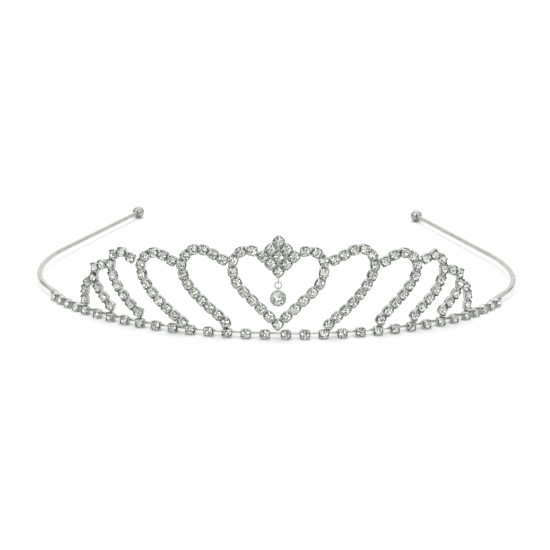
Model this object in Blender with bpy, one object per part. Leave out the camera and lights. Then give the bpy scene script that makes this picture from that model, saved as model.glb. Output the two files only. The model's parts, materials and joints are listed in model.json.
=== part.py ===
"""Bridal tiara: a heart and scrolls of linked stone cups standing on a spaced row of cups.

Metres, +Z up. The wearer's forehead side is -Y, the band's open ends are +Y. The origin is
the middle of the footprint, on the surface that the tiara stands on.

A point of the ornament is given as (along, height): along is the distance in millimetres
round the band from its middle, and height is in millimetres above the base cups' centres.
"""
import bpy
import bmesh
from bisect import bisect
from math import cos, hypot, pi, radians, sin
from mathutils import Matrix, Vector

MM = 0.001
SHARP_ANGLE = radians(40)       # edges of round pieces sharper than this stay sharp

# The band seen from above: half an ellipse in front, a bend, then a straight arm to the tip.
HALF_WIDTH = 70.2 * MM
FRONT_DEPTH = 61 * MM
SHOULDER_RADIUS = 70 * MM
SHOULDER_ANGLE = radians(16.7)
ARM_STRAIGHT = 58.8 * MM
ELLIPSE_STEPS = 400

# A stone in its cup: an octagonal block whose front is the stone's table.
CUP_RADIUS = 1.25 * MM          # half the width across the flats
CUP_BACK = -1.0 * MM            # measured along the outward direction
CUP_FRONT = 1.1 * MM
CUP_SIDES = 8
LINK_INSET = 0.3 * MM           # how far a link's sides stand in from the cup's sides

# The base row: a cup every BASE_PITCH, closer together over the last few at each end.
BASE_FIRST = 2.65 * MM
BASE_PITCH = 4.82 * MM
BASE_END_PITCH = 4.07 * MM
BASE_MAIN_CUPS = 12
BASE_END_CUPS = 4

# Wires and their ball tips.
CLEARANCE = 0.05 * MM           # between soldered neighbours
BASE_WIRE_RADIUS = 0.43 * MM
BASE_WIRE_STEP = 4.8 * MM
BASE_WIRE_SHORT = 0.5 * MM      # it ends this far before the centre of the last cup
ARM_RADIUS = 0.75 * MM
ARM_STEP = 3.6 * MM
ARM_LAP = 0.3 * MM              # length of arm before the centre of the last cup
ARM_SPREAD = 12 * MM            # length over which the arm moves out and up from behind the cups
ARM_RISE = 1.2 * MM             # how far up it moves
BALL_RADIUS = 2.1 * MM
BALL_BORE_RADIUS = 0.83 * MM
BALL_SEGMENTS = 16
BALL_RINGS = 10
BORE_SIDES = 12

# The ornament is soldered on a little to the right of the row's middle, as hand work is.
ORNAMENT_SHIFT = 0.55           # in millimetres

# Nine cups set as a lozenge: three strips of three, turned 45 degrees. Both in millimetres.
LOZENGE_HEIGHT = 20.2           # of its centre above the base cups' centres
LOZENGE_PITCH = 2.75

# The drop, its eyelets and the jump ring between them.
LOZENGE_EYELET_RADIUS = 0.75 * MM    # to the middle of its wire
DROP_EYELET_RADIUS = 0.45 * MM
DROP_EYELET_SINK = 0.15 * MM    # how far its lowest wire runs inside the cup's outline
EYELET_WIRE = 0.16 * MM
RING_RADIUS = 0.84 * MM
RING_WIRE = 0.16 * MM
DROP_RADIUS = 2.1 * MM
DROP_WALL = 0.2 * MM
DROP_FLOOR = 0.3 * MM
DROP_RIM = 0.6 * MM             # the rim's place along the outward direction
DROP_GIRDLE = 0.3 * MM          # height of the stone's edge, up to the rim
DROP_TABLE_RADIUS = 1.1 * MM
DROP_SIDES = 16
TORUS_STEPS = 16
TORUS_SIDES = 6

LINE_STEPS = 24                 # steps of a strand's smooth line between two of its points

# Strands as (along, height) points of a smooth line, before the ornament's shift. Each starts at
# the cup it hangs on, which belongs to another strand. A heart strand ends at the tip cup. A
# scroll begins with the number of the base cup that it ends at, and the number of its own cups.
# The left scrolls stand a little lower.
HEART_CUPS = 9
HEART = ((3.9, 20.2), (7.4, 21.7), (10.6, 20.3), (11.5, 17.0), (10.2, 12.8), (5.7, 8.1), (0.0, 2.6))
RIGHT_SCROLLS = {
    1: (3, 13, (11.3, 18.8), (14.1, 19.2), (17.1, 20.6), (20.6, 21.9), (23.7, 20.2), (24.6, 16.6),
        (22.4, 11.8), (18.0, 6.8), (13.4, 2.9)),
    2: (6, 11, (24.7, 17.3), (27.5, 18.1), (30.3, 19.6), (33.4, 19.8), (36.2, 17.8), (36.7, 14.2),
        (33.6, 9.6), (29.0, 5.2), (26.8, 2.7)),
    3: (8, 9, (36.8, 16.4), (39.5, 17.7), (42.3, 18.5), (44.8, 16.8), (45.5, 13.2), (43.3, 8.9),
        (39.4, 5.3), (36.7, 2.8)),
    4: (10, 6, (45.8, 14.1), (48.6, 13.5), (51.2, 12.4), (51.9, 9.8), (49.9, 6.2), (46.0, 3.1)),
    5: (12, 3, (51.6, 9.2), (54.3, 7.9), (55.2, 5.4)),
}
LEFT_SCROLLS = {
    1: (3, 13, (11.3, 18.6), (14.2, 19.0), (17.1, 20.5), (20.5, 21.3), (23.3, 19.8), (24.7, 16.4),
        (22.9, 11.6), (18.0, 6.8), (13.4, 2.9)),
    2: (5, 12, (24.7, 17.1), (27.6, 17.7), (30.5, 19.0), (33.2, 19.1), (35.5, 17.3), (36.4, 14.2),
        (33.8, 9.5), (28.6, 4.7), (24.5, 1.8)),
    3: (8, 9, (36.6, 16.0), (39.7, 17.1), (42.3, 18.1), (45.1, 16.9), (46.0, 13.2), (43.7, 8.6),
        (39.9, 4.8), (37.0, 2.6)),
    4: (10, 6, (46.0, 14.0), (48.8, 13.8), (51.6, 12.7), (52.6, 9.8), (50.0, 6.2), (46.4, 2.8)),
    5: (12, 3, (52.3, 9.2), (54.6, 8.1), (56.0, 5.5)),
}


def clear_scene():
    for obj in list(bpy.data.objects):
        bpy.data.objects.remove(obj, do_unlink=True)


def make_material(name, colour, metallic, roughness, transmission=0.0):
    material = bpy.data.materials.new(name)
    material.use_nodes = True
    shader = material.node_tree.nodes["Principled BSDF"]
    shader.inputs["Base Color"].default_value = (*colour, 1.0)
    shader.inputs["Metallic"].default_value = metallic
    shader.inputs["Roughness"].default_value = roughness
    shader.inputs["Transmission Weight"].default_value = transmission
    return material


def finish_mesh(bm, name, material, smooth=False):
    """Turn a bmesh into a named object with outward faces."""
    bmesh.ops.recalc_face_normals(bm, faces=bm.faces)
    mesh = bpy.data.meshes.new(name)
    bm.to_mesh(mesh)
    bm.free()
    if smooth:
        mesh.shade_smooth()
        mesh.set_sharp_from_angle(angle=SHARP_ANGLE)
    mesh.materials.append(material)
    obj = bpy.data.objects.new(name, mesh)
    bpy.context.scene.collection.objects.link(obj)
    return obj


# ---- the band's plan curve ------------------------------------------------------------

def front_table():
    """(distance, angle) pairs along the right half of the front ellipse."""
    rows = [(0.0, 0.0)]
    x, y = 0.0, 0.0
    for step in range(1, ELLIPSE_STEPS + 1):
        angle = pi / 2 * step / ELLIPSE_STEPS
        nx, ny = HALF_WIDTH * sin(angle), FRONT_DEPTH * (1 - cos(angle))
        rows.append((rows[-1][0] + hypot(nx - x, ny - y), angle))
        x, y = nx, ny
    return rows


FRONT_TABLE = front_table()
FRONT_LENGTH = FRONT_TABLE[-1][0]
SHOULDER_LENGTH = SHOULDER_RADIUS * SHOULDER_ANGLE
TIP_ALONG = FRONT_LENGTH + SHOULDER_LENGTH + ARM_STRAIGHT


def plan(along):
    """Point and direction of the right half of the band, with the front at y = 0."""
    if along <= FRONT_LENGTH:
        row = max(1, bisect(FRONT_TABLE, (along, 0.0)))
        row = min(row, ELLIPSE_STEPS)
        (near, a), (far, b) = FRONT_TABLE[row - 1], FRONT_TABLE[row]
        angle = a + (b - a) * (along - near) / (far - near)
        point = Vector((HALF_WIDTH * sin(angle), FRONT_DEPTH * (1 - cos(angle)), 0))
        heading = Vector((HALF_WIDTH * cos(angle), FRONT_DEPTH * sin(angle), 0)).normalized()
        return point, heading
    turned = min((along - FRONT_LENGTH) / SHOULDER_RADIUS, SHOULDER_ANGLE)
    heading = Vector((-sin(turned), cos(turned), 0))
    point = Vector((HALF_WIDTH - SHOULDER_RADIUS * (1 - cos(turned)),
                    FRONT_DEPTH + SHOULDER_RADIUS * sin(turned), 0))
    beyond = max(0.0, along - FRONT_LENGTH - SHOULDER_LENGTH)
    return point + heading * beyond, heading


TIP_Y = plan(TIP_ALONG)[0].y
MIDDLE_Y = (TIP_Y + BALL_RADIUS - CUP_FRONT) / 2


def band(along, height=0.0, inset=0.0):
    """World point, heading and outward direction; a negative along is the left side."""
    side = -1.0 if along < 0 else 1.0
    point, heading = plan(abs(along))
    outward = Vector((heading.y, -heading.x, 0))
    point = point - outward * inset
    point.x *= side
    outward.x *= side
    heading.y *= side
    point.y -= MIDDLE_Y
    point.z = CUP_RADIUS + height
    return point, heading, outward


# ---- stone cups and strands -----------------------------------------------------------

def smooth_line(points):
    """Catmull-Rom curve through the points, as a dense list."""
    ends = [2 * points[0] - points[1]] + points + [2 * points[-1] - points[-2]]
    line = []
    for a, b, c, d in zip(ends, ends[1:], ends[2:], ends[3:]):
        for step in range(LINE_STEPS):
            t = step / LINE_STEPS
            line.append((2 * b + (c - a) * t + (2 * a - 5 * b + 4 * c - d) * t ** 2
                         + (3 * b - a - 3 * c + d) * t ** 3) / 2)
    return line + [points[-1]]


def equal_parts(line, parts):
    """Points that cut a line into equal parts."""
    reach = [0.0]
    for a, b in zip(line, line[1:]):
        reach.append(reach[-1] + (b - a).length)
    marks = []
    for part in range(parts + 1):
        wanted = reach[-1] * part / parts
        row = min(max(1, bisect(reach, wanted)), len(line) - 1)
        share = (wanted - reach[row - 1]) / (reach[row] - reach[row - 1])
        marks.append(line[row - 1].lerp(line[row], share))
    return marks


def cup_frame(along, height, slope, side):
    """A cup's placing matrix: X along its strand, Z outward."""
    point, heading, outward = band(side * along * MM, height * MM)
    forward = heading * slope.x * side + Vector((0, 0, 1)) * slope.y
    forward.normalize()
    across = outward.cross(forward)
    matrix = Matrix((forward, across, outward)).transposed().to_4x4()
    matrix.translation = point
    return matrix


def add_cup(bm, matrix):
    """One octagonal cup; returns the faces that look back and forward along the strand."""
    corner = CUP_RADIUS / cos(pi / CUP_SIDES)
    rings = []
    for depth in (CUP_BACK, CUP_FRONT):
        ring = []
        for k in range(CUP_SIDES):
            angle = 2 * pi * (k + 0.5) / CUP_SIDES
            ring.append(bm.verts.new(matrix @ Vector((corner * cos(angle), corner * sin(angle), depth))))
        rings.append(ring)
    back, front = rings
    bm.faces.new(reversed(back))
    bm.faces.new(front)
    sides = []
    for k in range(CUP_SIDES):
        after = (k + 1) % CUP_SIDES
        sides.append(bm.faces.new((back[k], back[after], front[after], front[k])))
    return sides[CUP_SIDES // 2 - 1], sides[CUP_SIDES - 1]


def link_faces(bm, first, second):
    """Join two facing sides with a link that is narrower than they are."""
    loops = []
    for face in (first, second):
        bmesh.ops.inset_individual(bm, faces=[face], thickness=LINK_INSET)
        loops.append(list(face.edges))
    bmesh.ops.delete(bm, geom=[first, second], context="FACES_ONLY")
    bmesh.ops.bridge_loops(bm, edges=loops[0] + loops[1])


def make_strand(name, marks, side, material):
    """Linked cups at the marks, which are (along, height) vectors with a neighbour at each end."""
    bm = bmesh.new()
    last = None
    for before, here, after in zip(marks, marks[1:], marks[2:]):
        slope = (after - before).normalized()
        back_face, front_face = add_cup(bm, cup_frame(here.x, here.y, slope, side))
        if last:
            link_faces(bm, last, back_face)
        last = front_face
    return finish_mesh(bm, name, material)


def make_route_strand(name, points, cups, side, material):
    return make_strand(name, equal_parts(smooth_line(points), cups + 1), side, material)


def make_base_cup(name, along, material):
    bm = bmesh.new()
    point, heading, outward = band(along)
    across = outward.cross(heading)
    matrix = Matrix((heading, across, outward)).transposed().to_4x4()
    matrix.translation = point
    add_cup(bm, matrix)
    return finish_mesh(bm, name, material)


def base_places():
    """Distances of the base cups' centres from the middle, on one side."""
    places = [BASE_FIRST + BASE_PITCH * k for k in range(BASE_MAIN_CUPS)]
    for _ in range(BASE_END_CUPS):
        places.append(places[-1] + BASE_END_PITCH)
    return places


def make_base_row(material):
    for side_name, side in (("left", -1), ("right", 1)):
        for number, along in enumerate(base_places(), start=1):
            make_base_cup(f"base_cup_{side_name}_{number:02d}", side * along, material)


def make_lozenge(material):
    """Three strips of three cups, each strip running up to the right."""
    centre = Vector((ORNAMENT_SHIFT, LOZENGE_HEIGHT))
    along_strip = Vector((1, 1)).normalized() * LOZENGE_PITCH
    across_strips = Vector((1, -1)).normalized() * LOZENGE_PITCH
    for name, row in (("upper", -1), ("middle", 0), ("lower", 1)):
        marks = [centre + across_strips * row + along_strip * k for k in (-2, -1, 0, 1, 2)]
        make_strand(f"lozenge_strip_{name}", marks, 1, material)


def shifted(points, side):
    """A strand's points moved by the ornament's shift, whichever side they are on."""
    return [Vector((along + side * ORNAMENT_SHIFT, height)) for along, height in points]


def make_ornament(material):
    make_lozenge(material)
    tip = shifted(HEART, 1)[-1]
    level = Vector((1, 0))
    make_strand("heart_tip_cup", [tip - level, tip, tip + level], 1, material)
    for side_name, side in (("left", -1), ("right", 1)):
        make_route_strand(f"heart_strand_{side_name}", shifted(HEART, side), HEART_CUPS, side, material)
        for number, (base_cup, cups, *route) in (RIGHT_SCROLLS if side > 0 else LEFT_SCROLLS).items():
            foot = Vector((base_places()[base_cup - 1] / MM, 0.0))
            points = shifted(route, side) + [foot]
            make_route_strand(f"scroll_{number}_{side_name}", points, cups, side, material)


# ---- wires ----------------------------------------------------------------------------

def make_wire(name, points, radius, material, resolution=2):
    """A round wire through the points, closed at both ends."""
    curve = bpy.data.curves.new(name, "CURVE")
    curve.dimensions = "3D"
    curve.bevel_depth = radius
    curve.bevel_resolution = resolution
    curve.use_fill_caps = True
    spline = curve.splines.new("POLY")
    spline.points.add(len(points) - 1)
    for place, point in zip(spline.points, points):
        place.co = (*point, 1.0)
    curve.materials.append(material)
    obj = bpy.data.objects.new(name, curve)
    bpy.context.scene.collection.objects.link(obj)
    return obj


def ease(value):
    """Smooth step from 0 to 1."""
    value = min(max(value, 0.0), 1.0)
    return value * value * (3 - 2 * value)


BASE_WIRE_INSET = BASE_WIRE_RADIUS + CLEARANCE - CUP_BACK
ARM_INSET = ARM_RADIUS + CLEARANCE - CUP_BACK
BALL_LIFT = BALL_RADIUS - CUP_RADIUS
ROW_END = BASE_FIRST + BASE_PITCH * (BASE_MAIN_CUPS - 1) + BASE_END_PITCH * BASE_END_CUPS


def make_base_wire(material):
    reach = ROW_END - BASE_WIRE_SHORT
    steps = round(2 * reach / BASE_WIRE_STEP)
    points = []
    for step in range(steps + 1):
        along = reach * (2 * step / steps - 1)
        points.append(band(along, 0.0, BASE_WIRE_INSET)[0])
    make_wire("base_wire", points, BASE_WIRE_RADIUS, material, resolution=1)


def arm_point(along):
    """Centre of the right arm: behind the last cup at first, then out to the band's own curve."""
    spread = ease((along - ROW_END) / ARM_SPREAD)
    fall = max(0.0, along - ROW_END) / (TIP_ALONG - ROW_END)
    height = spread * (ARM_RISE + (BALL_LIFT - ARM_RISE) * fall)
    return band(along, height, ARM_INSET * (1 - spread))[0]


def make_arms(material):
    start = ROW_END - ARM_LAP
    steps = round((TIP_ALONG - start) / ARM_STEP)
    for side_name, side in (("left", -1), ("right", 1)):
        points = []
        for step in range(steps + 1):
            point = arm_point(start + (TIP_ALONG - start) * step / steps)
            point.x *= side
            points.append(point)
        make_wire(f"arm_wire_{side_name}", points, ARM_RADIUS, material)
        make_ball(f"ball_tip_{side_name}", points[-1], points[-2], material)


def make_ball(name, centre, before, material):
    """A round bead whose blind bore holds the end of the arm."""
    bm = bmesh.new()
    bmesh.ops.create_uvsphere(bm, u_segments=BALL_SEGMENTS, v_segments=BALL_RINGS, radius=BALL_RADIUS)
    bmesh.ops.translate(bm, verts=bm.verts, vec=centre)
    ball = finish_mesh(bm, name, material, smooth=True)
    bm = bmesh.new()
    bmesh.ops.create_cone(bm, cap_ends=True, segments=BORE_SIDES, radius1=BALL_BORE_RADIUS,
                          radius2=BALL_BORE_RADIUS, depth=2 * BALL_RADIUS)
    direction = (before - centre).normalized()
    turn = direction.to_track_quat("Z", "Y").to_matrix().to_4x4()
    turn.translation = centre + direction * (BALL_RADIUS - CLEARANCE)
    bmesh.ops.transform(bm, matrix=turn, verts=bm.verts)
    bore = finish_mesh(bm, name + "_bore", material)
    bore.hide_render = True
    bore.display_type = "WIRE"
    cut = ball.modifiers.new("bore", "BOOLEAN")
    cut.operation = "DIFFERENCE"
    cut.object = bore


# ---- the drop -------------------------------------------------------------------------

LOZENGE_FOOT = (LOZENGE_HEIGHT - LOZENGE_PITCH * 2 ** 0.5) * MM - CUP_RADIUS
EYELET_HEIGHT = LOZENGE_FOOT - CLEARANCE - LOZENGE_EYELET_RADIUS - EYELET_WIRE
RING_TOP = EYELET_HEIGHT - LOZENGE_EYELET_RADIUS + EYELET_WIRE + CLEARANCE + RING_WIRE
RING_HEIGHT = RING_TOP - RING_RADIUS
DROP_EYELET_TOP = RING_HEIGHT - RING_RADIUS + RING_WIRE + CLEARANCE + EYELET_WIRE
DROP_EYELET_HEIGHT = DROP_EYELET_TOP - DROP_EYELET_RADIUS
DROP_HEIGHT = DROP_EYELET_HEIGHT - DROP_EYELET_RADIUS - (DROP_RADIUS - DROP_EYELET_SINK)


def front_point(height):
    """A point on the middle of the ornament's surface."""
    return band(ORNAMENT_SHIFT * MM, height)[0]


def add_torus(bm, radius, wire, height, axis):
    """A ring of round wire about the given axis, in the bmesh's own frame."""
    matrix = Matrix.Rotation(pi / 2, 4, axis)
    rows = []
    for step in range(TORUS_STEPS):
        turn = 2 * pi * (step + 0.5) / TORUS_STEPS
        row = []
        for k in range(TORUS_SIDES):
            angle = 2 * pi * k / TORUS_SIDES
            reach = radius + wire * cos(angle)
            point = matrix @ Vector((reach * cos(turn), reach * sin(turn), wire * sin(angle)))
            row.append(bm.verts.new(point + Vector((0, 0, height))))
        rows.append(row)
    for row, after in zip(rows, rows[1:] + rows[:1]):
        for k in range(TORUS_SIDES):
            bm.faces.new((row[k], row[k - 1], after[k - 1], after[k]))


def turned(bm, profile):
    """Spin a closed (radius, depth) outline about the outward axis, which is -Y."""
    rings = []
    for radius, depth in profile:
        if radius == 0:
            rings.append([bm.verts.new((0, -depth, 0))])
            continue
        ring = []
        for k in range(DROP_SIDES):
            angle = 2 * pi * (k + 0.5) / DROP_SIDES
            ring.append(bm.verts.new((radius * cos(angle), -depth, radius * sin(angle))))
        rings.append(ring)
    for ring, after in zip(rings, rings[1:]):
        for k in range(DROP_SIDES):
            following = (k + 1) % DROP_SIDES
            corners = [ring[k % len(ring)], ring[following % len(ring)],
                       after[following % len(after)], after[k % len(after)]]
            corners = [v for n, v in enumerate(corners) if v not in corners[:n]]
            bm.faces.new(corners)


def make_drop(silver, crystal):
    bm = bmesh.new()
    add_torus(bm, LOZENGE_EYELET_RADIUS, EYELET_WIRE, 0.0, "Y")
    eyelet = finish_mesh(bm, "lozenge_eyelet", silver, smooth=True)
    eyelet.location = front_point(EYELET_HEIGHT)

    bm = bmesh.new()
    add_torus(bm, RING_RADIUS, RING_WIRE, RING_HEIGHT - RING_TOP, "X")
    ring = finish_mesh(bm, "jump_ring", silver, smooth=True)
    ring.location = front_point(RING_TOP)

    drop_origin = front_point(RING_HEIGHT)
    below = DROP_HEIGHT - RING_HEIGHT
    pocket = DROP_RADIUS - DROP_WALL
    bm = bmesh.new()
    turned(bm, ((0, CUP_BACK), (DROP_RADIUS, CUP_BACK), (DROP_RADIUS, DROP_RIM), (pocket, DROP_RIM),
                (pocket, CUP_BACK + DROP_FLOOR), (0, CUP_BACK + DROP_FLOOR)))
    bmesh.ops.translate(bm, verts=bm.verts, vec=(0, 0, below))
    cup = finish_mesh(bm, "drop_cup", silver, smooth=True)
    cup.location = drop_origin

    bm = bmesh.new()
    add_torus(bm, DROP_EYELET_RADIUS, EYELET_WIRE, DROP_EYELET_HEIGHT - RING_HEIGHT, "Y")
    loop = finish_mesh(bm, "drop_cup_loop", silver)
    loop.location = drop_origin
    loop.hide_render = True
    loop.display_type = "WIRE"
    join = cup.modifiers.new("loop", "BOOLEAN")
    join.operation = "UNION"
    join.object = loop

    bm = bmesh.new()
    seat = pocket - CLEARANCE
    turned(bm, ((0, CUP_BACK + DROP_FLOOR + CLEARANCE), (seat, DROP_RIM - DROP_GIRDLE),
                (seat, DROP_RIM), (DROP_TABLE_RADIUS, CUP_FRONT), (0, CUP_FRONT)))
    bmesh.ops.translate(bm, verts=bm.verts, vec=(0, 0, below))
    stone = finish_mesh(bm, "drop_stone", crystal)
    stone.location = drop_origin


def main():
    clear_scene()
    silver = make_material("silver_plate", (0.82, 0.82, 0.80), 1.0, 0.18)
    cups = make_material("stones_in_cups", (0.70, 0.72, 0.71), 0.9, 0.15)
    crystal = make_material("crystal", (0.90, 0.92, 0.91), 0.0, 0.03, transmission=0.6)
    make_base_row(cups)
    make_ornament(cups)
    make_base_wire(silver)
    make_arms(silver)
    make_drop(silver, crystal)


main()
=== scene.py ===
"""Bridal tiara: the fine surface and materials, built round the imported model.

Metres, +Z up, forehead side at -Y. Cups, wires and rings are read from the frame's nodes. A cup's
own frame has X along its strand, Z outward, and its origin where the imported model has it.
Profiles and sections are in millimetres, and other named sizes are in metres.
"""
import json
import random
from math import atan2, cos, pi, radians, sin, tan

import bmesh
import bpy
from mathutils import Euler, Matrix, Quaternion, Vector


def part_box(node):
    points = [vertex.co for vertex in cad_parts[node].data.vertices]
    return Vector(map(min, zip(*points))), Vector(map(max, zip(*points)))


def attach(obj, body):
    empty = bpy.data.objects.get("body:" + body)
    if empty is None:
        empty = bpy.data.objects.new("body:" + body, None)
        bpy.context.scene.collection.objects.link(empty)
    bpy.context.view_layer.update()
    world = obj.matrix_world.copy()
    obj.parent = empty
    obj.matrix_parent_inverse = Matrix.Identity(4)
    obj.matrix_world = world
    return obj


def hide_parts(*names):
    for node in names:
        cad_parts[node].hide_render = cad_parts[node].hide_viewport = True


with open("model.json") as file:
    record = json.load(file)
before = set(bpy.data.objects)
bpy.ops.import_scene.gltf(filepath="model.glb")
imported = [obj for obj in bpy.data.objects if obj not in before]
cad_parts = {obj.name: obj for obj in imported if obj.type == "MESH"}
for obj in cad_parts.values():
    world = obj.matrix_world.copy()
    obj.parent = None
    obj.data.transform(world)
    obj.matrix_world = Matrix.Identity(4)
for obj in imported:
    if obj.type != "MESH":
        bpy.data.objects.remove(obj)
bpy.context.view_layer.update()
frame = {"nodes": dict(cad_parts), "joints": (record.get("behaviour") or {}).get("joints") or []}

MM = 0.001

# Camera.
CAMERA_PLACE = Vector((0.26, -354.0, 94.7)) * MM
CAMERA_TURN = radians(0.11)    # to the left
CAMERA_DOWN = radians(15.30)
CAMERA_ROLL = radians(0.77)
CAMERA_VIEW = radians(26)

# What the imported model's cups measure.
CUP_RADIUS = 1.25 * MM
CUP_FRONT = 1.1 * MM
CUP_AREA = 8 * CUP_RADIUS ** 2 * tan(pi / 8)
LINK_REACH = 3.6 * MM          # farthest apart that two linked cups are
SOLDER_REACH = 3.15 * MM       # farthest apart that two soldered cups of different strands are

# A small stamped cup: (half width, height) from the middle of its floor, over the rim and in.
CUP_PROFILE = ((0.80, -1.0), (1.06, -0.97), (1.21, -0.87), (1.25, -0.70), (1.25, -0.10), (1.25, 0.08),
               (1.22, 0.14), (1.15, 0.12), (1.12, 0.02), (1.11, -0.62), (0.96, -0.82), (0.62, -0.86))
CUP_RIM = (5, 8)               # first and last row of the profile that rises towards the claws
CUP_STEPS = 40
CORNER_RISE = 0.24
CORNER_POWER = 4.0             # 2 would make the cup round, and a large number square

# A claw: (distance from the cup's axis, height, half width, half thickness) up to its tip.
CLAW = ((1.40, -0.50, 0.20, 0.05), (1.415, 0.00, 0.25, 0.085), (1.40, 0.28, 0.26, 0.09),
        (1.33, 0.47, 0.25, 0.09), (1.20, 0.60, 0.22, 0.085), (1.05, 0.68, 0.18, 0.075),
        (0.95, 0.72, 0.13, 0.055), (0.91, 0.73, 0.06, 0.02))
CLAW_SIDES = 8

# A link between cups: (across, height) round its section, and where it leaves a cup's middle.
LINK_SECTION = ((-1.02, -0.72), (-0.95, -0.82), (0.95, -0.82), (1.02, -0.72), (1.04, 0.0), (0.98, 0.09),
                (0.86, 0.08), (0.80, -0.30), (0.0, -0.42), (-0.80, -0.30), (-0.86, 0.08), (-0.98, 0.09),
                (-1.04, 0.0))
LINK_START = 1.16 * MM
LINK_WAIST = 0.93

# Wires, rings and beads.
WIRE_SIDES = 20
WIRE_STEP = 1.1 * MM
RING_RADIUS = 0.84 * MM
LOZENGE_EYELET_RADIUS = 0.75 * MM
DROP_EYELET_RADIUS = 0.45 * MM
DROP_EYELET_SINK = 0.15 * MM
RING_WIRE = 0.16 * MM
RING_STEPS = 48
RING_SIDES = 12
RING_GAP = radians(5)          # where the jump ring's wire was cut
RING_GAP_PLACE = radians(35)
CLEARANCE = 0.05 * MM          # between a ring's wire and the next
BORE_RADIUS = 0.83 * MM
BEAD_STEPS = 28
BEAD_SIDES = 36


# ---- camera ---------------------------------------------------------------------------

def make_camera():
    data = bpy.data.cameras.new("camera")
    data.angle = CAMERA_VIEW
    data.clip_start = 0.01
    camera = bpy.data.objects.new("camera", data)
    camera.location = CAMERA_PLACE
    camera.rotation_mode = "QUATERNION"
    level = Euler((pi / 2 - CAMERA_DOWN, 0, CAMERA_TURN)).to_quaternion()
    camera.rotation_quaternion = level @ Quaternion((0, 0, 1), CAMERA_ROLL)
    bpy.context.scene.collection.objects.link(camera)
    bpy.context.scene.camera = camera


make_camera()


# ---- materials ------------------------------------------------------------------------

def new_material(name):
    """A new material, its node tree and its Principled shader."""
    material = bpy.data.materials.new(name)
    material.use_nodes = True
    return material, material.node_tree, material.node_tree.nodes["Principled BSDF"]


def add_noise(tree, grain, detail=3.0, coordinate=None):
    """A noise pattern whose features are about one grain across, in metres."""
    noise = tree.nodes.new("ShaderNodeTexNoise")
    noise.inputs["Scale"].default_value = 1.0 / grain
    noise.inputs["Detail"].default_value = detail
    if coordinate is None:
        coordinate = tree.nodes.new("ShaderNodeTexCoord").outputs["Object"]
    tree.links.new(coordinate, noise.inputs["Vector"])
    return noise.outputs["Fac"]


def vary(tree, pattern, low, high, socket):
    """Drive a number socket between low and high by a pattern."""
    spread = tree.nodes.new("ShaderNodeMapRange")
    spread.inputs["From Min"].default_value = 0.35
    spread.inputs["From Max"].default_value = 0.65
    spread.inputs["To Min"].default_value = low
    spread.inputs["To Max"].default_value = high
    tree.links.new(pattern, spread.inputs["Value"])
    tree.links.new(spread.outputs["Result"], socket)


def tint(tree, pattern, low, high, socket):
    """Drive a colour socket between two colours by a pattern."""
    ramp = tree.nodes.new("ShaderNodeValToRGB")
    ramp.color_ramp.elements[0].position = 0.35
    ramp.color_ramp.elements[1].position = 0.65
    ramp.color_ramp.elements[0].color = (*low, 1)
    ramp.color_ramp.elements[1].color = (*high, 1)
    tree.links.new(pattern, ramp.inputs["Fac"])
    tree.links.new(ramp.outputs["Color"], socket)


def add_bump(tree, pattern, height, shader):
    bump = tree.nodes.new("ShaderNodeBump")
    bump.inputs["Distance"].default_value = height
    tree.links.new(pattern, bump.inputs["Height"])
    tree.links.new(bump.outputs["Normal"], shader.inputs["Normal"])


def make_silver(name, low, high, smooth, rough, grain, dents):
    """Plated metal with faint cloudiness, uneven polish and shallow dents."""
    material, tree, shader = new_material(name)
    shader.inputs["Metallic"].default_value = 1.0
    cloud = add_noise(tree, grain * 4)
    tint(tree, cloud, low, high, shader.inputs["Base Color"])
    vary(tree, add_noise(tree, grain), smooth, rough, shader.inputs["Roughness"])
    add_bump(tree, add_noise(tree, grain, detail=2.0), dents, shader)
    return material


def make_drawn_wire(name, low, high, smooth, rough):
    """Drawn wire: fine lines run along it, from the wire's own (along, round) map."""
    material, tree, shader = new_material(name)
    shader.inputs["Metallic"].default_value = 1.0
    along = tree.nodes.new("ShaderNodeUVMap")
    along.uv_map = "along"
    stretch = tree.nodes.new("ShaderNodeMapping")
    stretch.inputs["Scale"].default_value = (0.02, 1.0, 1.0)
    tree.links.new(along.outputs["UV"], stretch.inputs["Vector"])
    lines = add_noise(tree, 0.12 * MM, coordinate=stretch.outputs["Vector"])
    tint(tree, add_noise(tree, 2.5 * MM), low, high, shader.inputs["Base Color"])
    vary(tree, lines, smooth, rough, shader.inputs["Roughness"])
    add_bump(tree, lines, 0.002 * MM, shader)
    return material


def make_crystal(name, low, high):
    """Clear cut glass, very faintly green, with a trace of unevenness in its polish."""
    material, tree, shader = new_material(name)
    shader.inputs["Transmission Weight"].default_value = 1.0
    shader.inputs["IOR"].default_value = 1.56
    tint(tree, add_noise(tree, 3.0 * MM), low, high, shader.inputs["Base Color"])
    vary(tree, add_noise(tree, 0.4 * MM), 0.0, 0.03, shader.inputs["Roughness"])
    return material


def make_floor_paper():
    material, tree, shader = new_material("floor_paper")
    tint(tree, add_noise(tree, 0.15), (0.90, 0.90, 0.90), (0.92, 0.92, 0.92), shader.inputs["Base Color"])
    vary(tree, add_noise(tree, 0.004), 0.85, 0.95, shader.inputs["Roughness"])
    return material


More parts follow.
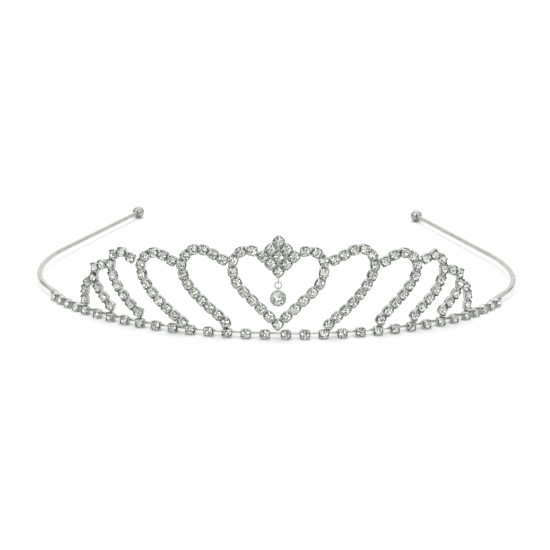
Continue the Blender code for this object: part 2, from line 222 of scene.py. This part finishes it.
CUP_SILVER = make_silver("cup_silver", (0.46, 0.47, 0.455), (0.60, 0.60, 0.585),
                         0.12, 0.28, 0.5 * MM, 0.010 * MM)
BEAD_SILVER = make_silver("bead_silver", (0.34, 0.34, 0.33), (0.44, 0.44, 0.43),
                          0.08, 0.18, 1.2 * MM, 0.010 * MM)
SOLDER = make_silver("solder", (0.48, 0.48, 0.465), (0.62, 0.62, 0.605),
                     0.25, 0.45, 0.35 * MM, 0.030 * MM)
WIRE_SILVER = make_drawn_wire("wire_silver", (0.60, 0.60, 0.585), (0.70, 0.70, 0.685), 0.16, 0.26)
ARM_SILVER = make_drawn_wire("arm_silver", (0.50, 0.50, 0.485), (0.60, 0.60, 0.585), 0.24, 0.34)
RING_SILVER = make_silver("ring_silver", (0.30, 0.30, 0.295), (0.40, 0.40, 0.39),
                          0.14, 0.28, 0.6 * MM, 0.006 * MM)
CRYSTAL = make_crystal("crystal", (0.90, 0.93, 0.89), (0.96, 0.97, 0.94))
DROP_FOIL = make_silver("drop_foil_back", (0.78, 0.80, 0.77), (0.92, 0.92, 0.90),
                        0.02, 0.06, 0.6 * MM, 0.003 * MM)
FOIL = make_silver("foil_back", (0.66, 0.68, 0.65), (0.84, 0.84, 0.81),
                   0.03, 0.10, 0.4 * MM, 0.004 * MM)


# ---- mesh helpers ---------------------------------------------------------------------

def skin(bm, rings, closed=False):
    """Join rings of points with faces, and close both ends unless the rings come full circle."""
    rows = [[bm.verts.new(point) for point in ring] for ring in rings]
    pairs = list(zip(rows, rows[1:]))
    if closed:
        pairs.append((rows[-1], rows[0]))
    else:
        bm.faces.new(reversed(rows[0]))
        bm.faces.new(rows[-1])
    for row, after in pairs:
        for k in range(len(row)):
            bm.faces.new((row[k - 1], row[k], after[k], after[k - 1]))


def lathe(profile, sides):
    """Rings of points that turn a (radius, height) profile about the Z axis."""
    turns = [2 * pi * k / sides for k in range(sides)]
    return [[Vector((radius * cos(a), radius * sin(a), z)) for a in turns] for radius, z in profile]


def stamp(bm, template, matrix):
    """Add a copy of a template mesh, placed by the matrix."""
    before = len(bm.verts)
    bm.from_mesh(template)
    bm.verts.ensure_lookup_table()
    bmesh.ops.transform(bm, matrix=matrix, verts=bm.verts[before:])


def to_mesh(bm, name, smooth):
    bmesh.ops.recalc_face_normals(bm, faces=bm.faces)
    mesh = bpy.data.meshes.new(name)
    bm.to_mesh(mesh)
    bm.free()
    if smooth:
        mesh.shade_smooth()
        mesh.set_sharp_from_angle(angle=radians(50))
    return mesh


def make_piece(name, bm, materials, nodes=(), body="band", smooth=True):
    """Turn a bmesh into a piece that rides on a body and stands for the given nodes."""
    mesh = to_mesh(bm, name, smooth)
    for material in materials:
        mesh.materials.append(material)
    piece = bpy.data.objects.new(name, mesh)
    bpy.context.scene.collection.objects.link(piece)
    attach(piece, body)
    if nodes:
        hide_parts(*nodes)
    return piece


# ---- reading the frame ----------------------------------------------------------------

TIP_NODE = "heart_tip_cup"     # its cup stands on one corner, where the heart's strands meet


def merged(node):
    """A node's mesh with its split corners joined again."""
    bm = bmesh.new()
    bm.from_mesh(frame["nodes"][node].data)
    bmesh.ops.remove_doubles(bm, verts=bm.verts, dist=0.001 * MM)
    return bm


def cups_of(node):
    """A placing matrix for each cup in a node, from the flat octagon at its front."""
    bm = merged(node)
    bmesh.ops.dissolve_limit(bm, angle_limit=radians(0.5), verts=bm.verts, edges=bm.edges)
    fronts = []
    for face in bm.faces:
        centre = face.calc_center_median()
        same_area = abs(face.calc_area() / CUP_AREA - 1) < 0.02
        if len(face.verts) == 8 and same_area and face.normal.dot(centre) > 0:
            sides = [((e.verts[0].co + e.verts[1].co) / 2 - centre).normalized() for e in face.edges]
            fronts.append((centre, face.normal.copy(), sides))
    bm.free()
    cups = []
    for centre, outward, sides in fronts:
        others = [c for c, _, _ in fronts if 0 < (c - centre).length < LINK_REACH]
        wanted = others[0] - centre if others else Vector((0, 0, 1)).cross(outward)
        if node == TIP_NODE:
            wanted += Vector((0, 0, 1))
        forward = max(sides, key=wanted.dot)
        matrix = Matrix((forward, outward.cross(forward), outward)).transposed().to_4x4()
        matrix.translation = centre - outward * CUP_FRONT
        cups.append(matrix)
    return cups


def centre_line(node):
    """Points along the middle of a wire, one from each ring of its vertices, front end first."""
    bm = merged(node)
    rim = {v for e in bm.edges if e.calc_face_angle() > radians(75) for v in e.verts}
    seed = min(rim, key=lambda v: (v.co.y, v.co.x))
    ring = {v for v in rim if (v.co - seed.co).length < 2 * MM}
    seen = set(ring)
    points = []
    while ring:
        points.append(sum((v.co for v in ring), Vector()) / len(ring))
        ring = {e.other_vert(v) for v in ring for e in v.link_edges} - seen
        seen |= ring
    bm.free()
    return points


# ---- cups, links and stones -----------------------------------------------------------

def rounded_square(half, angle):
    """Distance from the middle to the side of a square with well rounded corners."""
    total = abs(cos(angle)) ** CORNER_POWER + abs(sin(angle)) ** CORNER_POWER
    return half / total ** (1 / CORNER_POWER)


def cup_template():
    """A stamped cup with a rolled rim, and four claws bent in over the stone."""
    bm = bmesh.new()
    rings = []
    for row, (half, height) in enumerate(CUP_PROFILE):
        ring = []
        for k in range(CUP_STEPS):
            angle = 2 * pi * k / CUP_STEPS
            reach = rounded_square(half, angle)
            rise = CORNER_RISE * sin(2 * angle) ** 4 if CUP_RIM[0] <= row <= CUP_RIM[1] else 0
            ring.append(Vector((reach * cos(angle), reach * sin(angle), height + rise)) * MM)
        rings.append(ring)
    skin(bm, rings)
    for corner in range(4):
        add_claw(bm, CLAW, pi / 4 + corner * pi / 2)
    return to_mesh(bm, "cup_template", True)


def add_claw(bm, rows, turn, scale=1.0, place=Vector((0, 0, 0))):
    """A claw that rises at an angle round the cup's axis and bends in to its tip."""
    outward = Vector((cos(turn), sin(turn), 0))
    across = Vector((-sin(turn), cos(turn), 0))
    up = Vector((0, 0, 1))
    middles = [(outward * reach + up * height) * scale for reach, height, _, _ in rows]
    rings = []
    for n, (reach, height, wide, thick) in enumerate(rows):
        heading = (middles[min(n + 1, len(rows) - 1)] - middles[max(n - 1, 0)]).normalized()
        normal = across.cross(heading)
        ring = []
        for k in range(CLAW_SIDES):
            angle = 2 * pi * (k + 0.5) / CLAW_SIDES
            offset = across * wide * cos(angle) + normal * thick * sin(angle)
            ring.append((middles[n] + offset * scale) * MM + place)
        rings.append(ring)
    skin(bm, rings)


def stone_template(radius, girdle, table_radius, table, culet):
    """A brilliant-cut stone: glass crown and girdle (slot 0) on a foiled back (slot 1).

    girdle is the lower and upper height of its edge, table and culet the heights of its top and
    its point. The large facets are flat by construction.
    """
    bm = bmesh.new()
    low, high = girdle
    lean = cos(pi / 8)
    star = (table_radius + radius) / 2
    star_height = table - (star * lean - table_radius) * (table - high) / (radius - table_radius)
    back = radius * 0.28
    back_height = culet + back * lean * (low - culet) / radius

    def circle(count, reach, height, shift=0.0):
        turns = [2 * pi * (k + shift) / count for k in range(count)]
        return [bm.verts.new(Vector((reach * cos(a), reach * sin(a), height)) * MM) for a in turns]

    tops = circle(8, table_radius, table)
    stars = circle(8, star, star_height, 0.5)
    upper = circle(16, radius, high)
    lower = circle(16, radius, low)
    backs = circle(8, back, back_height, 0.5)
    point = bm.verts.new((0, 0, culet * MM))
    bm.faces.new(tops)
    for k in range(8):
        after = (k + 1) % 8
        edge = [upper[2 * k], upper[2 * k + 1], upper[2 * after]]
        bm.faces.new((tops[k], tops[after], stars[k]))
        bm.faces.new((tops[k], stars[k], edge[0], stars[k - 1]))
        bm.faces.new((stars[k], edge[0], edge[1]))
        bm.faces.new((stars[k], edge[1], edge[2]))
        under = [lower[2 * k], lower[2 * k + 1], lower[2 * after]]
        bm.faces.new((edge[0], edge[1], under[1], under[0]))
        bm.faces.new((edge[1], edge[2], under[2], under[1]))
        for corners in ((backs[k], under[0], under[1]), (backs[k], under[1], under[2]),
                        (point, backs[k - 1], under[0], backs[k])):
            bm.faces.new(corners).material_index = 1
    return to_mesh(bm, "stone_template", False)


def settled(draw, matrix):
    """A stone's place in its cup: turned at random and very slightly out of true."""
    spin = Matrix.Rotation(draw.uniform(0, pi / 4), 4, "Z")
    tip = Euler((draw.gauss(0, radians(1.6)), draw.gauss(0, radians(1.6)), 0)).to_matrix().to_4x4()
    return matrix @ tip @ spin


def add_link(bm, first, second):
    """A channel-shaped link that carries on the walls of two cups where they face each other."""
    rings = []
    towards = (second.translation - first.translation).normalized()
    for cup, sign in ((first, 1), (second, -1)):
        axes = [cup.col[n].xyz * s for n in (0, 1) for s in (1, -1)]
        side = max(axes, key=(towards * sign).dot)
        outward = cup.col[2].xyz
        across = outward.cross(side) * sign
        middle = cup.translation + side * LINK_START
        rings.append([middle + (across * x + outward * z) * MM for x, z in LINK_SECTION])
    waist = [(a + b) / 2 for a, b in zip(*rings)]
    middle = sum(waist, Vector()) / len(waist)
    rings.insert(1, [middle + (point - middle) * LINK_WAIST for point in waist])
    skin(bm, rings)


CUP = cup_template()
LOZENGE_STRETCH = Matrix.Diagonal((1.09, 1.09, 1, 1))
STRAND_STRETCH = Matrix.Diagonal((1.05, 1.06, 1, 1))
BASE_STRETCH = Matrix.Diagonal((1.08, 1.0, 1, 1))
STONE = stone_template(1.13, (0.28, 0.36), 0.62, 0.76, -0.72)


def cup_stretch(node):
    """How much wider a node's stamped cups are than the template."""
    if node.startswith("lozenge"):
        return LOZENGE_STRETCH
    if node.startswith("base_cup"):
        return BASE_STRETCH
    return STRAND_STRETCH


def make_cups(node, cups, stem):
    """The settings and the stones that stand for one node of cups."""
    bm = bmesh.new()
    stretch = cup_stretch(node)
    for n, cup in enumerate(cups):
        stamp(bm, CUP, cup @ stretch)
        for other in cups[n + 1:]:
            if (other.translation - cup.translation).length < LINK_REACH:
                add_link(bm, cup, other)
    make_piece(stem + "_setting", bm, [CUP_SILVER], [node])
    bm = bmesh.new()
    draw = random.Random(node)
    for cup in cups:
        stamp(bm, STONE, settled(draw, cup))
    make_piece(stem + "_stones", bm, [CRYSTAL, FOIL], [node], smooth=False)


ALL_CUPS = {}
for node_name in sorted(frame["nodes"]):
    node_cups = cups_of(node_name)
    if node_cups:
        ALL_CUPS[node_name] = node_cups
        make_cups(node_name, node_cups, node_name)


def make_tip_links():
    """The links that join the heart's two strands to the cup at its tip."""
    bm = bmesh.new()
    tip = ALL_CUPS[TIP_NODE][0]
    for name in ("heart_strand_left", "heart_strand_right"):
        nearest = min(ALL_CUPS[name], key=lambda cup: (cup.translation - tip.translation).length)
        add_link(bm, nearest, tip)
    make_piece("heart_tip_links", bm, [CUP_SILVER])


make_tip_links()


# ---- wires ----------------------------------------------------------------------------

def smooth_line(points, step):
    """A Catmull-Rom curve through the points, with a point about every step."""
    ends = [2 * points[0] - points[1]] + points + [2 * points[-1] - points[-2]]
    line = []
    for a, b, c, d in zip(ends, ends[1:], ends[2:], ends[3:]):
        parts = max(1, round((c - b).length / step))
        for part in range(parts):
            t = part / parts
            line.append((2 * b + (c - a) * t + (2 * a - 5 * b + 4 * c - d) * t ** 2
                         + (3 * b - a - 3 * c + d) * t ** 3) / 2)
    return line + [points[-1]]


def wire_rings(line, radius, sides=WIRE_SIDES, cut=0.25):
    """Rings round a line of points, with softened ends; the rings' radii and places."""
    rings = []
    last = len(line) - 1
    for n, point in enumerate(line):
        heading = (line[min(n + 1, last)] - line[max(n - 1, 0)]).normalized()
        across = heading.cross(Vector((0, 0, 1))).normalized()
        upward = across.cross(heading)
        sizes = [(0.0, 1.0)]
        if n == 0:
            sizes = [(-cut, 1 - cut), (-cut * 0.3, 1 - cut * 0.3), (0.0, 1.0)]
        elif n == last:
            sizes = [(0.0, 1.0), (cut * 0.3, 1 - cut * 0.3), (cut, 1 - cut)]
        for forward, size in sizes:
            middle = point + heading * forward * radius
            ring = []
            for k in range(sides):
                angle = 2 * pi * k / sides
                ring.append(middle + (across * cos(angle) + upward * sin(angle)) * radius * size)
            rings.append(ring)
    return rings


def map_along(piece, sides, radius):
    """A UV map in metres: distance along the wire, and distance round it."""
    mesh = piece.data
    layer = mesh.uv_layers.new(name="along")
    reach = [0.0]
    places = [vertex.co for vertex in mesh.vertices]
    middles = []
    for first in range(0, len(places), sides):
        middles.append(sum(places[first:first + sides], Vector()) / sides)
    for before, after in zip(middles, middles[1:]):
        reach.append(reach[-1] + (after - before).length)
    for polygon in mesh.polygons:
        columns = [mesh.loops[i].vertex_index % sides for i in polygon.loop_indices]
        wraps = max(columns) == sides - 1 and min(columns) == 0
        for i, column in zip(polygon.loop_indices, columns):
            if wraps and column == 0:
                column = sides
            row = mesh.loops[i].vertex_index // sides
            layer.data[i].uv = (reach[row], 2 * pi * radius * column / sides)


def make_wire(node, name, radius, material):
    bm = bmesh.new()
    line = smooth_line(centre_line(node), WIRE_STEP)
    skin(bm, wire_rings(line, radius))
    piece = make_piece(name, bm, [material], [node])
    map_along(piece, WIRE_SIDES, radius)
    return line


def bead_template(radius):
    """A polished bead about its own Z axis, with a blind bore up from below."""
    profile = []
    lip = atan2(BORE_RADIUS + 0.1 * MM, radius)
    for n in range(1, BEAD_STEPS + 1):
        angle = (pi - lip) * n / BEAD_STEPS
        profile.append((radius * sin(angle), radius * cos(angle)))
    edge = -radius * cos(lip)
    profile += [(BORE_RADIUS + 0.03 * MM, edge - 0.02 * MM), (BORE_RADIUS, edge + 0.06 * MM),
                (BORE_RADIUS, 0.1 * MM), (BORE_RADIUS * 0.6, 0.35 * MM)]
    bm = bmesh.new()
    skin(bm, lathe(profile, BEAD_SIDES))
    return bm


def make_bead(node, name, line):
    low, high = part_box(node)
    bm = bead_template((high.z - low.z) / 2)
    turn = (line[-1] - line[-2]).to_track_quat("Z", "Y").to_matrix().to_4x4()
    turn.translation = line[-1]
    bmesh.ops.transform(bm, matrix=turn, verts=bm.verts)
    make_piece(name, bm, [BEAD_SILVER], [node])


ARM_RADIUS = 0.75 * MM
BASE_WIRE_RADIUS = 0.43 * MM
make_wire("base_wire", "base_wire_drawn", BASE_WIRE_RADIUS, WIRE_SILVER)
ARM_LINES = {}
for side in ("left", "right"):
    ARM_LINES[side] = make_wire(f"arm_wire_{side}", f"arm_wire_{side}_drawn", ARM_RADIUS, ARM_SILVER)
    make_bead(f"ball_tip_{side}", f"ball_tip_{side}_bead", ARM_LINES[side])


# ---- eyelet, jump ring and drop -------------------------------------------------------

def ring_rings(centre, radius, wire, axis, start=0.0, sweep=2 * pi):
    """Rings of points round a hoop of wire whose own axis is X or Y."""
    count = RING_STEPS if sweep >= 2 * pi else RING_STEPS + 1
    rings = []
    for step in range(count):
        turn = start + sweep * step / RING_STEPS
        along = Vector((cos(turn), 0, sin(turn)))
        side = Vector((0, 1, 0))
        if axis == "X":
            along = Vector((0, cos(turn), sin(turn)))
            side = Vector((1, 0, 0))
        ring = []
        for k in range(RING_SIDES):
            angle = 2 * pi * k / RING_SIDES
            ring.append(centre + along * (radius + wire * cos(angle)) + side * wire * sin(angle))
        rings.append(ring)
    return rings


JOINTS = {joint["name"]: joint for joint in frame["joints"]}
RING_CENTRE = Vector(JOINTS["drop_swing"]["pos_m"])


def box_middle(node):
    low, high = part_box(node)
    return (low + high) / 2


def make_rings():
    bm = bmesh.new()
    skin(bm, ring_rings(box_middle("lozenge_eyelet"), LOZENGE_EYELET_RADIUS, RING_WIRE, "X"), closed=True)
    make_piece("lozenge_eyelet_wire", bm, [RING_SILVER], ["lozenge_eyelet"])
    bm = bmesh.new()
    start = RING_GAP_PLACE + RING_GAP / 2
    hoop = ring_rings(RING_CENTRE, RING_RADIUS, RING_WIRE, "Y", start, 2 * pi - RING_GAP)
    skin(bm, hoop)
    make_piece("jump_ring_wire", bm, [RING_SILVER], ["jump_ring"], body="jump_ring")


DROP_PROFILE = ((0.9, -1.0), (1.55, -0.99), (1.85, -0.93), (2.0, -0.8), (2.06, -0.6), (2.08, 0.2),
                (2.10, 0.42), (2.07, 0.50), (1.98, 0.52), (1.91, 0.47), (1.89, 0.3), (1.85, -0.5),
                (1.5, -0.72), (0.8, -0.74))
DROP_CLAW = ((2.05, -0.2, 0.16, 0.05), (2.07, 0.25, 0.20, 0.08), (2.04, 0.55, 0.20, 0.09),
             (1.93, 0.74, 0.18, 0.09), (1.78, 0.84, 0.15, 0.075), (1.68, 0.885, 0.08, 0.04))
DROP_CLAWS = 8
DROP_RADIUS = 2.1 * MM
DROP_STEPS = 48


def make_drop():
    foot = RING_CENTRE.z - RING_RADIUS + 2 * RING_WIRE + CLEARANCE
    loop_centre = Vector((RING_CENTRE.x, RING_CENTRE.y, foot - DROP_EYELET_RADIUS))
    centre = loop_centre - Vector((0, 0, DROP_EYELET_RADIUS + DROP_RADIUS - DROP_EYELET_SINK))
    outward = Matrix.Rotation(pi / 2, 4, "X")
    outward.translation = centre
    bm = bmesh.new()
    skin(bm, lathe([(r * MM, z * MM) for r, z in DROP_PROFILE], DROP_STEPS))
    for n in range(DROP_CLAWS):
        add_claw(bm, DROP_CLAW, 2 * pi * (n + 0.5) / DROP_CLAWS)
    bmesh.ops.transform(bm, matrix=outward, verts=bm.verts)
    skin(bm, ring_rings(loop_centre, DROP_EYELET_RADIUS, RING_WIRE, "X"), closed=True)
    make_piece("drop_cup_setting", bm, [CUP_SILVER], ["drop_cup"], body="drop")
    bm = bmesh.new()
    stone = stone_template(1.88, (0.42, 0.52), 1.22, 1.06, -0.64)
    stamp(bm, stone, outward @ Matrix.Rotation(radians(11), 4, "Z"))
    glass = [CRYSTAL, DROP_FOIL]
    make_piece("drop_stone_cut", bm, glass, ["drop_stone"], body="drop", smooth=False)


make_rings()
make_drop()


# ---- solder ---------------------------------------------------------------------------

SOLDER_DEPTH = 0.45 * MM       # how far behind the cups' own origins the lumps between them lie
CUP_BITE = 1.07 * MM           # a lump ends this far from the middles of the cups it joins
BASE_LUMP_DEPTH = 1.16 * MM    # how far behind a base cup's origin its lump on the wire lies
LOZENGE_GAP = 4.2 * MM         # farthest apart that two lozenge cups on one level are

def add_blob(bm, place, axes, sizes, draw):
    """An uneven lump of solder with the given half sizes along three axes."""
    before = len(bm.verts)
    bmesh.ops.create_icosphere(bm, subdivisions=2, radius=1.0)
    bm.verts.ensure_lookup_table()
    matrix = Matrix(axes).transposed()
    for vert in bm.verts[before:]:
        swell = 1 + draw.uniform(-0.07, 0.07)
        vert.co = place + matrix @ Vector([c * s * swell for c, s in zip(vert.co, sizes)])


def lozenge_gaps():
    """Where four corners of the lozenge's cups meet: each place and its outward direction."""
    cups = [cup for name, row in ALL_CUPS.items() if "lozenge" in name for cup in row]
    gaps = []
    for n, cup in enumerate(cups):
        for other in cups[n + 1:]:
            apart = other.translation - cup.translation
            if apart.length < LOZENGE_GAP and abs(apart.z) < 0.3 * MM:
                gaps.append(((cup.translation + other.translation) / 2, cup.col[2].xyz))
    return gaps


def make_cup_solder():
    """Lumps between touching cups of different strands, low between their walls."""
    bm = bmesh.new()
    draw = random.Random("cup solder")
    names = sorted(ALL_CUPS)
    for n, name in enumerate(names):
        for other_name in names[n + 1:]:
            for cup in ALL_CUPS[name]:
                for other in ALL_CUPS[other_name]:
                    apart = other.translation - cup.translation
                    if apart.length > SOLDER_REACH:
                        continue
                    outward = (cup.col[2].xyz + other.col[2].xyz).normalized()
                    middle = (cup.translation + other.translation) / 2 - outward * SOLDER_DEPTH
                    along = apart.normalized()
                    across = outward.cross(along).normalized()
                    reach = max(apart.length / 2 - CUP_BITE, 0.25 * MM)
                    add_blob(bm, middle, (along, across, outward), (reach, 0.55 * MM, 0.40 * MM), draw)
    for place, outward in lozenge_gaps():
        sideways = outward.cross(Vector((0, 0, 1))).normalized()
        axes = (sideways, Vector((0, 0, 1)), outward)
        add_blob(bm, place - outward * 0.25 * MM, axes, (0.75 * MM, 0.75 * MM, 0.45 * MM), draw)
    top = box_middle("lozenge_eyelet") + Vector((0, 0, LOZENGE_EYELET_RADIUS + 0.1 * MM))
    add_blob(bm, top, Matrix.Identity(3), (0.22 * MM, 0.34 * MM, 0.16 * MM), draw)
    make_piece("solder_between_cups", bm, [SOLDER])


def make_wire_solder():
    """A lump that holds each base cup to the wire behind it, and one where each arm meets the row."""
    bm = bmesh.new()
    draw = random.Random("wire solder")
    for name in sorted(ALL_CUPS):
        if not name.startswith("base_cup"):
            continue
        cup = ALL_CUPS[name][0]
        outward = cup.col[2].xyz
        across = outward.cross(Vector((0, 0, 1)))
        place = cup.translation - outward * BASE_LUMP_DEPTH
        add_blob(bm, place, (across, Vector((0, 0, 1)), outward), (0.80 * MM, 0.52 * MM, 0.26 * MM), draw)
    for side, line in ARM_LINES.items():
        outward = ALL_CUPS[f"base_cup_{side}_16"][0].col[2].xyz
        heading = (line[1] - line[0]).normalized()
        place = line[0] + outward * ARM_RADIUS * 0.35
        axes = (heading, heading.cross(outward), outward)
        add_blob(bm, place, axes, (0.85 * MM, 0.66 * MM, 0.62 * MM), draw)
    make_piece("solder_on_wires", bm, [SOLDER])


make_cup_solder()
make_wire_solder()


# ---- floor and light ------------------------------------------------------------------

def make_floor():
    bm = bmesh.new()
    bmesh.ops.create_circle(bm, cap_ends=True, segments=64, radius=12.0)
    floor_mesh = bpy.data.meshes.new("floor")
    bm.to_mesh(floor_mesh)
    bm.free()
    floor_mesh.materials.append(make_floor_paper())
    floor = bpy.data.objects.new("floor", floor_mesh)
    bpy.context.scene.collection.objects.link(floor)


# Soft round lights: direction, half angle, width of the soft edge, brightness.
WINDOWS = (
    ((0.0, -0.05, 1.0), radians(32), radians(12), 1.05),
    ((0.0, 1.0, 0.85), radians(38), radians(18), 0.90),
    ((-1.0, -0.15, 0.55), radians(20), radians(8), 1.25),
    ((1.0, -0.05, 0.50), radians(19), radians(8), 1.15),
    ((-0.65, -0.80, 0.70), radians(10), radians(3), 3.8),
    ((0.75, -0.75, 0.60), radians(8), radians(3), 3.8),
    ((0.15, -1.0, 0.35), radians(7), radians(3), 3.8),
    ((-0.30, -0.80, 0.30), radians(4), radians(2), 4.5),
    ((0.45, -1.0, 0.95), radians(5), radians(2), 4.5),
)


def add_window(tree, direction, total, spread, soft, brightness):
    """Add a soft round light to the sky: spread is its half angle, soft the width of its edge."""
    facing = tree.nodes.new("ShaderNodeVectorMath")
    facing.operation = "DOT_PRODUCT"
    facing.inputs[1].default_value = Vector(direction).normalized()
    tree.links.new(tree.nodes["sky_direction"].outputs["Generated"], facing.inputs[0])
    edge = tree.nodes.new("ShaderNodeMapRange")
    edge.interpolation_type = "SMOOTHSTEP"
    edge.inputs["From Min"].default_value = cos(spread + soft)
    edge.inputs["From Max"].default_value = cos(spread)
    edge.inputs["To Max"].default_value = brightness
    tree.links.new(facing.outputs["Value"], edge.inputs["Value"])
    add = tree.nodes.new("ShaderNodeMath")
    tree.links.new(total, add.inputs[0])
    tree.links.new(edge.outputs["Result"], add.inputs[1])
    return add.outputs[0]


def make_world():
    """A dim room with a large soft light overhead and smaller ones round it."""
    world = bpy.data.worlds.new("studio")
    world.use_nodes = True
    bpy.context.scene.world = world
    tree = world.node_tree
    direction = tree.nodes.new("ShaderNodeTexCoord")
    direction.name = "sky_direction"
    split = tree.nodes.new("ShaderNodeSeparateXYZ")
    tree.links.new(direction.outputs["Generated"], split.inputs[0])
    room = tree.nodes.new("ShaderNodeMapRange")
    room.inputs["From Min"].default_value = 0.0
    room.inputs["From Max"].default_value = 0.5
    room.inputs["To Min"].default_value = 0.04
    room.inputs["To Max"].default_value = 0.26
    tree.links.new(split.outputs["Z"], room.inputs["Value"])
    total = room.outputs["Result"]
    for window in WINDOWS:
        total = add_window(tree, window[0], total, *window[1:])
    tree.links.new(total, tree.nodes["Background"].inputs["Strength"])
    tree.nodes["Background"].inputs["Color"].default_value = (1, 1, 1, 1)


make_floor()
make_world()
bpy.context.scene.view_settings.view_transform = "Standard"
bpy.context.scene.cycles.glossy_bounces = 8
